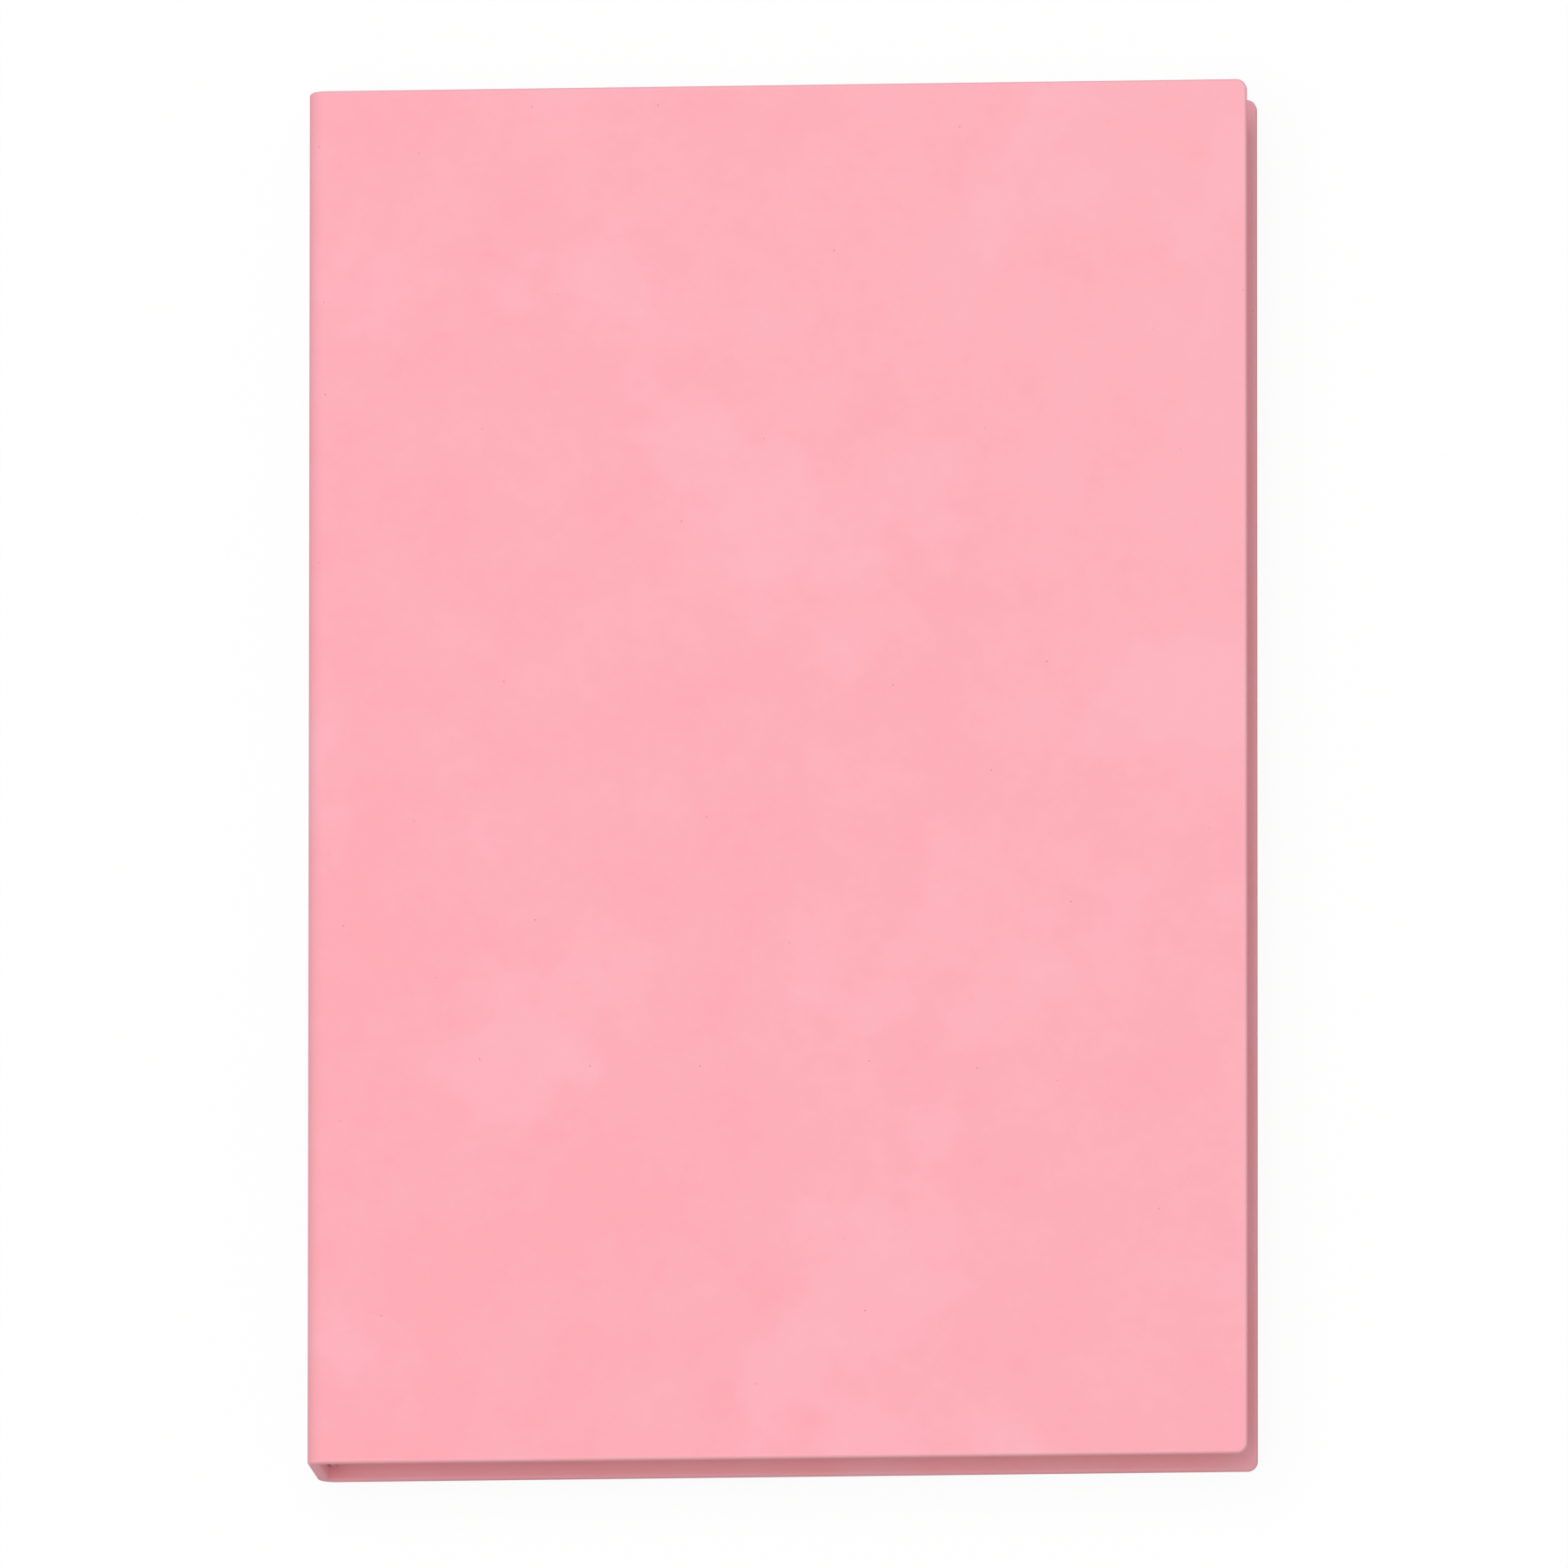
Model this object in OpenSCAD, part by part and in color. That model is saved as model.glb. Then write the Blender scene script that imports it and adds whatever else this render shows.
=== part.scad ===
// Notebook bound in one soft leather, closed and lying on its back cover.
// X runs from the spine to the fore-edge, Y from the tail to the head, Z up through the leaves.
// The origin is the middle of the back cover's underside.
// The leather, the lining and the endpapers each run across a spine fold of the case. A fold is
// where a cover swings, so there each is parted along the mitre plane of that fold.

/* [Case] */
// Width of the closed notebook, from the back of the spine to the fore-edge
case_w = 146; // [90:1:220]
// Height of the closed notebook, from tail to head
case_h = 215; // [140:1:300]
// Thickness of the leather
leather_t = 0.8; // [0.5:0.1:1.2]
// Thickness of the card in each cover
card_t = 0.8; // [0.6:0.1:2.4]
// Thickness of the card in the spine
spine_card_t = 0.6; // [0.4:0.1:1.5]
// Corner radius of the cover cards at the fore-edge
card_corner_r = 0.8; // [0.5:0.1:8]
// Radius of the leather where it turns over an edge
edge_r = 0.5; // [0.2:0.05:0.6]
// Outer radius of the leather where it folds from the spine to a cover
spine_fold_r = 3; // [1:0.1:4]
// Width of the cut that parts the leather at a spine fold
fold_gap = 0.3; // [0.2:0.05:0.5]

/* [Turn-ins] */
// Width of the leather turned in behind the cards
turn_w = 12; // [7:0.5:16]
// Thickness of the turned-in leather, pared thin
turn_t = 0.4; // [0.2:0.1:0.6]
// Width of the mitred joint between two turn-ins
mitre_gap = 0.2; // [0.1:0.05:0.4]

/* [Leaves] */
// Thickness of the sewn leaves
block_t = 17; // [6:0.5:30]
// Overhang of the covers past the leaves at head, tail and fore-edge
square_w = 3; // [2:0.5:6]
// Number of folded sections
sections = 16; // [6:1:24]
// Roundness of a section's fold, as the fold's radius over the section's thickness
fold_roundness = 0.55; // [0.52:0.01:0.8]
// Thickness of the endpapers
endpaper_t = 0.2; // [0.1:0.05:0.3]
// Gap between each cover's pastedown and the flyleaf that faces it
leaf_gap = 0.1; // [0.1:0.05:0.5]

/* [Spine] */
// Gap between the case's spine and the lining of the leaves
spine_gap = 0.2; // [0.2:0.1:1]
// Thickness of the cloth that lines the spine
lining_t = 0.2; // [0.1:0.05:0.3]
// Distance from the turn-ins to the ends of the lining
lining_margin = 7; // [5:0.5:20]
// Width of the lining's flap on each cover
flap_w = 24; // [12:1:40]
// Radius of the head and tail bands' bead
bead_r = 0.5; // [0.3:0.1:1]
// Height of the tape that carries each bead down the spine
tape_h = 10; // [5:0.5:12]

/* [Hidden] */
$fn = 48;
// Overrun of a cutting shape past the face that it cuts
cut = 1;

// Depths into a cover, from its outer face
card_d = leather_t + card_t;
cover_t = card_d + turn_t;
paste_d = cover_t + endpaper_t;
flyleaf_d = paste_d + leaf_gap;
block_d = flyleaf_d + endpaper_t;
total_t = block_t + 2 * block_d;

// Places along X, from the spine's outer face to the fore-edge
x_spine = -case_w / 2;
x_fore = case_w / 2;
spine_card_d = leather_t + spine_card_t;
spine_t = spine_card_d + turn_t;
x_lining = x_spine + spine_t + spine_gap;
x_block = x_lining + lining_t;
x_leaf_edge = x_fore - square_w;
x_window = x_fore - turn_w;

// Half heights along Y
y_head = case_h / 2;
y_leaf = y_head - square_w;
y_window = y_head - turn_w;
y_lining = y_window - lining_margin;

// Radius of the case's fore-edge corners, where the leather wraps the card's corner
corner_r = card_corner_r + leather_t;
// Distance of each leather's cut face from the mitre plane of its fold, measured along X
mitre_step = fold_gap / sqrt(2);
// Thickness of one folded section, and the radius of its fold
section_t = block_t / sections;
fold_r = fold_roundness * section_t;

leather_pink = "#FEB0BA";
card_grey = "#A79F94";
leaf_cream = "#F5F0E4";
endpaper_ivory = "#F3ECDC";
lining_white = "#ECEAE2";
band_rose = "#EFC3C6";

// Distance from the case's spine edge at which a layer this deep is clear of the mitre plane
function past_fold(depth) = depth + fold_gap;
// Distance from that edge at which a card this deep is clear of the round fold as well
function card_start(depth) = max(past_fold(depth), spine_fold_r);

// Runs a section drawn in X and Z along Y, centred
module along_y(length) {
    rotate([90, 0, 0]) linear_extrude(height = length, center = true) children();
}

// Runs a section drawn in Y and Z along X, between two places
module along_x(from, to) {
    translate([from, 0, 0]) rotate([90, 0, 90]) linear_extrude(height = to - from) children();
}

// Makes a front cover's piece from the back cover's
module as_front() {
    translate([0, 0, total_t]) mirror([0, 0, 1]) children();
}

// Bar between two places, with all four of its corners rounded
module rounded_bar(from, to, thickness, radius) {
    translate([from + radius, 0]) square([to - from - 2 * radius, thickness]);
    translate([from, radius]) square([to - from, thickness - 2 * radius]);
    for (x = [from + radius, to - radius], y = [radius, thickness - radius])
        translate([x, y]) circle(radius);
}

// Section of the whole case across the spine, at a given depth below its outer face, with a round
// fold at both spine edges
module case_section(depth) {
    radius = spine_fold_r - depth;
    translate([x_spine + spine_fold_r, depth]) square([case_w, total_t - 2 * depth]);
    translate([x_spine + depth, spine_fold_r]) square([case_w, total_t - 2 * spine_fold_r]);
    for (z = [spine_fold_r, total_t - spine_fold_r])
        translate([x_spine + spine_fold_r, z]) circle(radius);
}

// Room inside the leather, which is as thick round a spine fold as it is on the covers
module inside_leather() {
    intersection() {
        along_y(case_h + 2 * cut) case_section(leather_t);
        children();
    }
}

// The cover's side of its fold, which lies past the mitre plane
module cover_side() {
    intersection() {
        case_section(0);
        polygon([[x_spine + mitre_step, 0], [x_fore + cut, 0], [x_fore + cut, cover_t],
            [x_spine + mitre_step + cover_t, cover_t]]);
    }
}

// The spine's side of both folds
module spine_side() {
    x_in = x_spine + spine_t;
    intersection() {
        case_section(0);
        polygon([[x_spine, mitre_step], [x_in, spine_t + mitre_step],
            [x_in, total_t - spine_t - mitre_step], [x_spine, total_t - mitre_step]]);
    }
}

// A cover's full form, its edges turned round the card and its fore-edge corners rounded
module turned_cover() {
    from = x_spine - cover_t;
    along_y(case_h - 2 * corner_r) rounded_bar(from, x_fore, cover_t, edge_r);
    along_x(from, x_fore - corner_r) rounded_bar(-y_head, y_head, cover_t, edge_r);
    for (side = [-1, 1])
        translate([x_fore - corner_r, side * (y_head - corner_r), 0])
            rotate_extrude() intersection() {
                rounded_bar(-corner_r, corner_r, cover_t, edge_r);
                square([corner_r, cover_t]);
            }
}

// A cover's layer that fills its leather, seen from above, from a given place to the fore-edge
module pocket_outline(from) {
    to = x_fore - leather_t;
    half = y_head - leather_t;
    translate([from, -half]) square([to - card_corner_r - from, 2 * half]);
    translate([from, card_corner_r - half]) square([to - from, 2 * (half - card_corner_r)]);
    for (side = [-1, 1])
        translate([to - card_corner_r, side * (half - card_corner_r)]) circle(card_corner_r);
}

// Leather of a cover: its skin, turned edges and mitred turn-ins round the card's pocket
module cover_leather() {
    color(leather_pink)
    difference() {
        intersection() {
            turned_cover();
            along_y(case_h) cover_side();
        }
        inside_leather() {
            // Pocket that the card fills, open towards the spine
            translate([0, 0, leather_t])
                linear_extrude(height = card_t) pocket_outline(x_spine - cut);
        }
        inside_leather() {
            // Window between the turn-ins
            translate([x_spine - cut, -y_window, leather_t])
                cube([x_window - x_spine + cut, 2 * y_window, cover_t]);
        }
        // Mitred joints of the turn-ins at the two fore-edge corners
        for (side = [-1, 1])
            translate([x_window, side * y_window, card_d])
                rotate([0, 0, side * 45])
                    translate([-cut, -mitre_gap / 2, 0])
                        cube([(turn_w - leather_t) * sqrt(2) + cut, mitre_gap, turn_t + cut]);
    }
}

// Card of a cover, from the end of the round fold to the fore-edge
module cover_card() {
    color(card_grey)
    translate([0, 0, leather_t])
        linear_extrude(height = card_t) pocket_outline(x_spine + card_start(card_d));
}

// Outline of the lining's flap on a cover, widened all round by the given amount
module flap_outline(grow) {
    translate([x_spine + past_fold(card_d + lining_t) - grow, -y_lining - grow])
        square([flap_w + 2 * grow, 2 * (y_lining + grow)]);
}

// Flap of the lining cloth, glued to a cover's card
module cover_lining_flap() {
    color(lining_white)
    translate([0, 0, card_d]) linear_extrude(height = lining_t) flap_outline(0);
}

// Pastedown of a cover: one sheet that steps down off the turn-ins onto the card, and part of
// the way up again over the lining's flap
module cover_pastedown() {
    from = x_spine + past_fold(paste_d);
    color(endpaper_ivory)
    difference() {
        union() {
            // Over the turn-ins
            translate([from, -y_leaf, cover_t]) cube([x_leaf_edge - from, 2 * y_leaf, endpaper_t]);
            // Down to the card between them
            translate([from, -y_window, card_d]) cube([x_window - from, 2 * y_window, turn_t]);
        }
        // Hollow of the step, open towards the leaves
        difference() {
            translate([from - cut, endpaper_t - y_window, card_d + endpaper_t])
                cube([x_window - endpaper_t - from + cut, 2 * (y_window - endpaper_t), turn_t + cut]);
            linear_extrude(height = card_d + lining_t + endpaper_t) flap_outline(endpaper_t);
        }
        // Room for the lining's flap beneath the sheet
        linear_extrude(height = card_d + lining_t) flap_outline(0);
    }
}

// Leather of the spine, turned in at head and tail
module spine_leather() {
    color(leather_pink)
    difference() {
        intersection() {
            along_y(case_h) spine_side();
            linear_extrude(height = total_t)
                translate([x_spine, 0]) mirror([1, 0]) rotate(90)
                    rounded_bar(-y_head, y_head, spine_t, edge_r);
        }
        inside_leather() {
            // Pocket that the spine's card fills
            translate([x_spine + leather_t, leather_t - y_head, -cut])
                cube([spine_card_t, case_h - 2 * leather_t, total_t + 2 * cut]);
        }
        inside_leather() {
            // Window between the two turn-ins
            translate([x_spine + leather_t, -y_window, -cut])
                cube([spine_t, 2 * y_window, total_t + 2 * cut]);
        }
    }
}

// Card of the spine, short of both folds
module spine_card() {
    from = card_start(spine_card_d);
    color(card_grey)
    translate([x_spine + leather_t, leather_t - y_head, from])
        cube([spine_card_t, case_h - 2 * leather_t, total_t - 2 * from]);
}

// Lining cloth, glued along the backs of the sections
module spine_lining() {
    color(lining_white)
    translate([x_lining, -y_lining, block_d]) cube([lining_t, 2 * y_lining, block_t]);
}

// Band at the head of the leaves: a wound bead on a tape that is glued down the spine
module head_band() {
    color(band_rose)
    union() {
        translate([x_lining + bead_r, y_leaf + bead_r, block_d]) cylinder(r = bead_r, h = block_t);
        translate([x_lining, y_leaf - tape_h, block_d]) cube([lining_t, tape_h + bead_r, block_t]);
    }
}

// Section of the sewn leaves: each folded section ends in a round fold at the spine
module block_section() {
    translate([x_block + fold_r, block_d]) square([x_leaf_edge - x_block - fold_r, block_t]);
    for (i = [0 : sections - 1])
        translate([x_block, block_d + i * section_t])
            intersection() {
                square([2 * fold_r, section_t]);
                translate([fold_r, section_t / 2]) circle(fold_r);
            }
}

// The sewn leaves, trimmed flat at head, tail and fore-edge
module page_block() {
    color(leaf_cream) along_y(2 * y_leaf) block_section();
}

// Flyleaf, tipped onto the leaves' face beside a cover
module flyleaf() {
    color(endpaper_ivory)
    translate([x_block, -y_leaf, flyleaf_d])
        cube([x_leaf_edge - x_block, 2 * y_leaf, endpaper_t]);
}

page_block();
as_front() flyleaf();  // front_flyleaf
flyleaf();  // back_flyleaf
spine_lining();
head_band();
mirror([0, 1, 0]) head_band();  // tail_band
spine_card();
spine_leather();
as_front() cover_leather();  // front_leather
as_front() cover_card();  // front_card
as_front() cover_lining_flap();  // front_lining_flap
as_front() cover_pastedown();  // front_pastedown
cover_leather();  // back_leather
cover_card();  // back_card
cover_lining_flap();  // back_lining_flap
cover_pastedown();  // back_pastedown
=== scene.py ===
import math

import bmesh
import bpy
import numpy as np
from mathutils import Matrix, Vector


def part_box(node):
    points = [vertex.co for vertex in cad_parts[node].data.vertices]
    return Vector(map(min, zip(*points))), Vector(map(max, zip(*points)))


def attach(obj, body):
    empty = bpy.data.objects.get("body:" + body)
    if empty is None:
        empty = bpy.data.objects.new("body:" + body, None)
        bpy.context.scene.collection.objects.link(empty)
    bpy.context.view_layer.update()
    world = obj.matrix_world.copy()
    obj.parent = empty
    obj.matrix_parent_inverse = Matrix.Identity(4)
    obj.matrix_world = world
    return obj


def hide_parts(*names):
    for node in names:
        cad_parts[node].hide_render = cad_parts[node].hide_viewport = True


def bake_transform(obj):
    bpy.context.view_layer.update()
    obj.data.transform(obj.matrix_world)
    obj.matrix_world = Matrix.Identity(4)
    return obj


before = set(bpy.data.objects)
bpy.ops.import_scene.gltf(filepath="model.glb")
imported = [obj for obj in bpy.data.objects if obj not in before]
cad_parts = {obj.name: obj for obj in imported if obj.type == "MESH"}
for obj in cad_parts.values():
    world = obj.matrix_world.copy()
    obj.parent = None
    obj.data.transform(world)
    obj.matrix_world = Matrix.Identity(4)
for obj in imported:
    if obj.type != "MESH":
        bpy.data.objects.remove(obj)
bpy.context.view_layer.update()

print("frame:", len(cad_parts), "CAD nodes")

# Lengths below are in millimetres; mm turns them to Blender's metres.
mm = 0.001
closeEnough = 0.01              # lengths that differ by less count as equal


# The frame

def boxOf(node):
    # a CAD node's lowest and highest corner in millimetres
    low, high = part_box(node)
    return np.array(low) / mm, np.array(high) / mm


caseLow, caseHigh = boxOf("front_leather")
spineLow, spineHigh = boxOf("spine_leather")
spineCardHigh = boxOf("spine_card")[1]
cardLow, cardHigh = boxOf("front_card")
flyLow, flyHigh = boxOf("front_flyleaf")
flapLow, flapHigh = boxOf("front_lining_flap")
liningLow, liningHigh = boxOf("spine_lining")
blockLow, blockHigh = boxOf("page_block")
bandLow, bandHigh = boxOf("head_band")

totalT = caseHigh[2]
xSpine, xFore, yHead = spineLow[0], caseHigh[0], caseHigh[1]
middleZ = totalT / 2

# Depths into the front cover, from its outer face
leatherT = totalT - cardHigh[2]
cardDepth = totalT - cardLow[2]
coverT = totalT - caseLow[2]
paperT = flyHigh[2] - flyLow[2]
flyleafDepth = totalT - flyHigh[2]

# Depths into the spine, from its outer face
spineCardDepth = spineCardHigh[0] - xSpine
spineT = spineHigh[0] - xSpine


# Meshes

meshing = {
    "mergeWithin": 0.002,       # places nearer than this become one
    "sharpAngle": 40.0,         # degrees; flatter edges are shaded smooth
}


def gridFaces(rows, columns, wrapRows=False):
    # quads between neighbouring rows and columns of a grid of vertices stored row by row
    rowCount = rows if wrapRows else rows - 1
    r, c = np.meshgrid(np.arange(rowCount), np.arange(columns - 1), indexing="ij")
    below = ((r + 1) % rows) * columns
    here = r * columns
    quads = np.stack([here + c, here + c + 1, below + c + 1, below + c], axis=-1)
    return quads.reshape(-1, 4).tolist()


def makePiece(name, places, faces, material, values=None):
    # a closed mesh piece from millimetre places, its doubles merged and its faces turned outwards
    mesh = bpy.data.meshes.new(name)
    mesh.from_pydata((places * mm).tolist(), [], faces)
    rest = mesh.attributes.new("restPlace", "FLOAT_VECTOR", "POINT")
    rest.data.foreach_set("vector", (places * mm).astype(np.float32).ravel())
    for valueName, value in (values or {}).items():
        layer = mesh.attributes.new(valueName, "FLOAT", "POINT")
        layer.data.foreach_set("value", value.astype(np.float32).ravel())
    shell = bmesh.new()
    shell.from_mesh(mesh)
    bmesh.ops.remove_doubles(shell, verts=shell.verts, dist=meshing["mergeWithin"] * mm)
    bmesh.ops.recalc_face_normals(shell, faces=shell.faces)
    shell.to_mesh(mesh)
    shell.free()
    mesh.polygons.foreach_set("use_smooth", [True] * len(mesh.polygons))
    mesh.set_sharp_from_angle(angle=math.radians(meshing["sharpAngle"]))
    mesh.materials.append(material)
    piece = bpy.data.objects.new(name, mesh)
    bpy.context.scene.collection.objects.link(piece)
    return piece


def sweepPiece(name, x, y, z, material):
    # a closed outline, one row a point of it, carried through stations along its columns;
    # both ends are capped by one face each
    places = np.stack(np.broadcast_arrays(x, y, z), axis=-1)
    rows, columns = places.shape[:2]
    faces = gridFaces(rows, columns, wrapRows=True)
    starts = np.arange(rows) * columns
    faces.append(starts.tolist())
    faces.append((starts + columns - 1)[::-1].tolist())
    return makePiece(name, places.reshape(-1, 3), faces, material)


def toFront(places):
    # the pieces are worked out on the front cover, so its places stay as they are
    return places


def toBack(places):
    # the front cover's places mirrored to the back cover, across the middle of the thickness
    return places * np.array([1, 1, -1]) + np.array([0, 0, totalT])


def softStep(value, start, end):
    # 0 before start, 1 after end, and a smooth cubic rise between
    t = np.clip((value - start) / (end - start), 0, 1)
    return t * t * (3 - 2 * t)


# Materials

softRange = {"clamp": True, "interpolation_type": "SMOOTHSTEP"}
colourMix = {"data_type": "RGBA"}
dullSurface = {"IOR": 1.45, "Specular IOR Level": 0.15}
white = (1, 1, 1, 1)


def toLinear(hexColour):
    # an sRGB hex colour as the linear red, green, blue and alpha that a shader takes
    parts = np.array([int(hexColour[i:i + 2], 16) for i in (1, 3, 5)]) / 255
    linear = np.where(parts <= 0.04045, parts / 12.92, ((parts + 0.055) / 1.055) ** 2.4)
    return (*linear.tolist(), 1.0)


def scaleOf(size):
    # the scale of a texture whose lumps are about this many millimetres across
    return 1 / (size * mm)


def addNode(tree, kind, settings, inputs=()):
    # one node with its settings and its inputs, listed in order or keyed by name or number;
    # an input that is a socket is linked, any other value is set
    node = tree.nodes.new(kind)
    for name, value in settings.items():
        setattr(node, name, value)
    for name, value in inputs.items() if isinstance(inputs, dict) else enumerate(inputs):
        if isinstance(value, bpy.types.NodeSocket):
            tree.links.new(value, node.inputs[name])
        else:
            node.inputs[name].default_value = value
    return node


def startMaterial(name):
    # an empty node material and its tree
    material = bpy.data.materials.new(name)
    material.use_nodes = True
    material.node_tree.nodes.clear()
    return material, material.node_tree


def finishMaterial(tree, colour, bump, surface):
    # the shader and the output
    shader = addNode(tree, "ShaderNodeBsdfPrincipled", {},
                     {"Base Color": colour, "Normal": bump.outputs["Normal"], **surface})
    addNode(tree, "ShaderNodeOutputMaterial", {}, {"Surface": shader.outputs["BSDF"]})


leatherLook = {
    "rose": "#FFAAB5",          # deeper parts of the dye
    "blush": "#FFB4BE",         # paler parts of it
    "pale": "#FFBBC6",          # a few rubbed patches
    "edge": "#FFBFC7",          # painted highlight along the rounded edges, standing in for the light they catch
    "speck": "#A9707A",
    "slant": (1.7, 1.0, 0.0),   # tone gained a metre: deeper towards the spine and the tail
    "cloudSize": 19.0,
    "flameSize": 2.6,
    "flameShare": 0.45,         # strength of the small flames beside the clouds
    "toneRange": (0.3, 1.15),   # clouds, slant and flames together, from rose to blush
    "patchSize": 29.0,
    "patchRange": (0.54, 0.68),
    "patchStrength": 0.4,
    # strength of the painted highlight along the rounded edges
    "edgeHighlightShare": 0.25,
    "grainSize": 0.55,
    "grainHeight": 0.012,
    "speckSpacing": 21.0,
    "speckRadius": 0.15,
    "speckDarkness": (0.1, 0.7),    # of the faintest speck and the darkest
    "roughness": (0.66, 0.76),
}


def makeLeather():
    # smooth full-grain calf, dyed through and left matt: soft clouds of colour with a few rubbed
    # patches, a grain so fine that it only takes the shine off, tiny specks, and a painted highlight
    # round the edges
    look = leatherLook
    material, tree = startMaterial("dyedCalfLeather")
    place = addNode(tree, "ShaderNodeAttribute", {"attribute_name": "restPlace"}).outputs["Vector"]
    clouds = addNode(tree, "ShaderNodeTexNoise", {},
                     {"Vector": place, "Scale": scaleOf(look["cloudSize"]),
                      "Detail": 3.0, "Roughness": 0.55}).outputs["Fac"]
    flames = addNode(tree, "ShaderNodeTexNoise", {},
                     {"Vector": place, "Scale": scaleOf(look["flameSize"]),
                      "Detail": 3.0, "Roughness": 0.6}).outputs["Fac"]
    slant = addNode(tree, "ShaderNodeVectorMath", {"operation": "DOT_PRODUCT"},
                    [place, look["slant"]]).outputs["Value"]
    tone = addNode(tree, "ShaderNodeMath", {"operation": "ADD"}, [clouds, slant]).outputs[0]
    tone = addNode(tree, "ShaderNodeMath", {"operation": "MULTIPLY_ADD"},
                   [flames, look["flameShare"], tone]).outputs[0]
    paleness = addNode(tree, "ShaderNodeMapRange", softRange, [tone, *look["toneRange"]]).outputs[0]
    colour = addNode(tree, "ShaderNodeMix", colourMix,
                     {0: paleness, 6: toLinear(look["rose"]), 7: toLinear(look["blush"])}).outputs[2]

    patches = addNode(tree, "ShaderNodeTexNoise", {},
                      {"Vector": place, "Scale": scaleOf(look["patchSize"]),
                       "Detail": 4.0, "Roughness": 0.55}).outputs["Fac"]
    rubbed = addNode(tree, "ShaderNodeMapRange", softRange,
                     [patches, *look["patchRange"], 0.0, look["patchStrength"]]).outputs[0]
    colour = addNode(tree, "ShaderNodeMix", colourMix,
                     {0: rubbed, 6: colour, 7: toLinear(look["pale"])}).outputs[2]

    # painted highlight: the leather round the cover's edges is made paler, standing in for light caught
    # on the rounded edges
    rim = addNode(tree, "ShaderNodeAttribute", {"attribute_name": "rim"}).outputs["Fac"]
    paintedEdgeHighlight = addNode(tree, "ShaderNodeMath", {"operation": "MULTIPLY"}, [rim, look["edgeHighlightShare"]]).outputs[0]
    colour = addNode(tree, "ShaderNodeMix", colourMix,
                     {0: paintedEdgeHighlight, 6: colour, 7: toLinear(look["edge"])}).outputs[2]

    cells = addNode(tree, "ShaderNodeTexVoronoi", {"voronoi_dimensions": "2D", "feature": "F1"},
                    {"Vector": place, "Scale": scaleOf(look["speckSpacing"])}).outputs
    reach = look["speckRadius"] / look["speckSpacing"]
    inSpeck = addNode(tree, "ShaderNodeMapRange", softRange,
                      [cells["Distance"], reach * 0.4, reach, 1.0, 0.0]).outputs[0]
    darkness = addNode(tree, "ShaderNodeMapRange", softRange,
                       [cells["Color"], 0.3, 0.8, *look["speckDarkness"]]).outputs[0]
    speck = addNode(tree, "ShaderNodeMath", {"operation": "MULTIPLY"}, [inSpeck, darkness]).outputs[0]
    colour = addNode(tree, "ShaderNodeMix", colourMix,
                     {0: speck, 6: colour, 7: toLinear(look["speck"])}).outputs[2]

    grain = addNode(tree, "ShaderNodeTexVoronoi", {"feature": "F1"},
                    {"Vector": place, "Scale": scaleOf(look["grainSize"])}).outputs["Distance"]
    pores = addNode(tree, "ShaderNodeTexNoise", {},
                    {"Vector": place, "Scale": scaleOf(look["grainSize"] * 0.6)}).outputs["Fac"]
    height = addNode(tree, "ShaderNodeMath", {"operation": "ADD"}, [grain, pores]).outputs[0]
    bump = addNode(tree, "ShaderNodeBump", {},
                   {"Height": height, "Distance": look["grainHeight"] * mm, "Strength": 1.0})
    roughness = addNode(tree, "ShaderNodeMapRange", softRange,
                        [clouds, 0.3, 0.7, *look["roughness"]]).outputs[0]
    finishMaterial(tree, colour, bump, {"Roughness": roughness, "IOR": 1.45, "Specular IOR Level": 0.25,
                                        "Sheen Weight": 0.03, "Sheen Roughness": 0.5})
    return material


paperLook = {
    "leaf": "#F5F0E4",
    "leafShade": "#DFD7C7",
    "leafPitch": 0.4,           # size of a streak; a real leaf is 0.13 thick, too fine to show
    "leafStretch": 0.01,        # a streak's thickness over its length
    "leafHeight": 0.03,
    "ivory": "#F3ECDC",
    "ivoryFibre": "#EEE6D5",
    "cloudSize": 3.5,
    "fibreSize": 0.9,
    "fibreHeight": 0.02,
}


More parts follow.
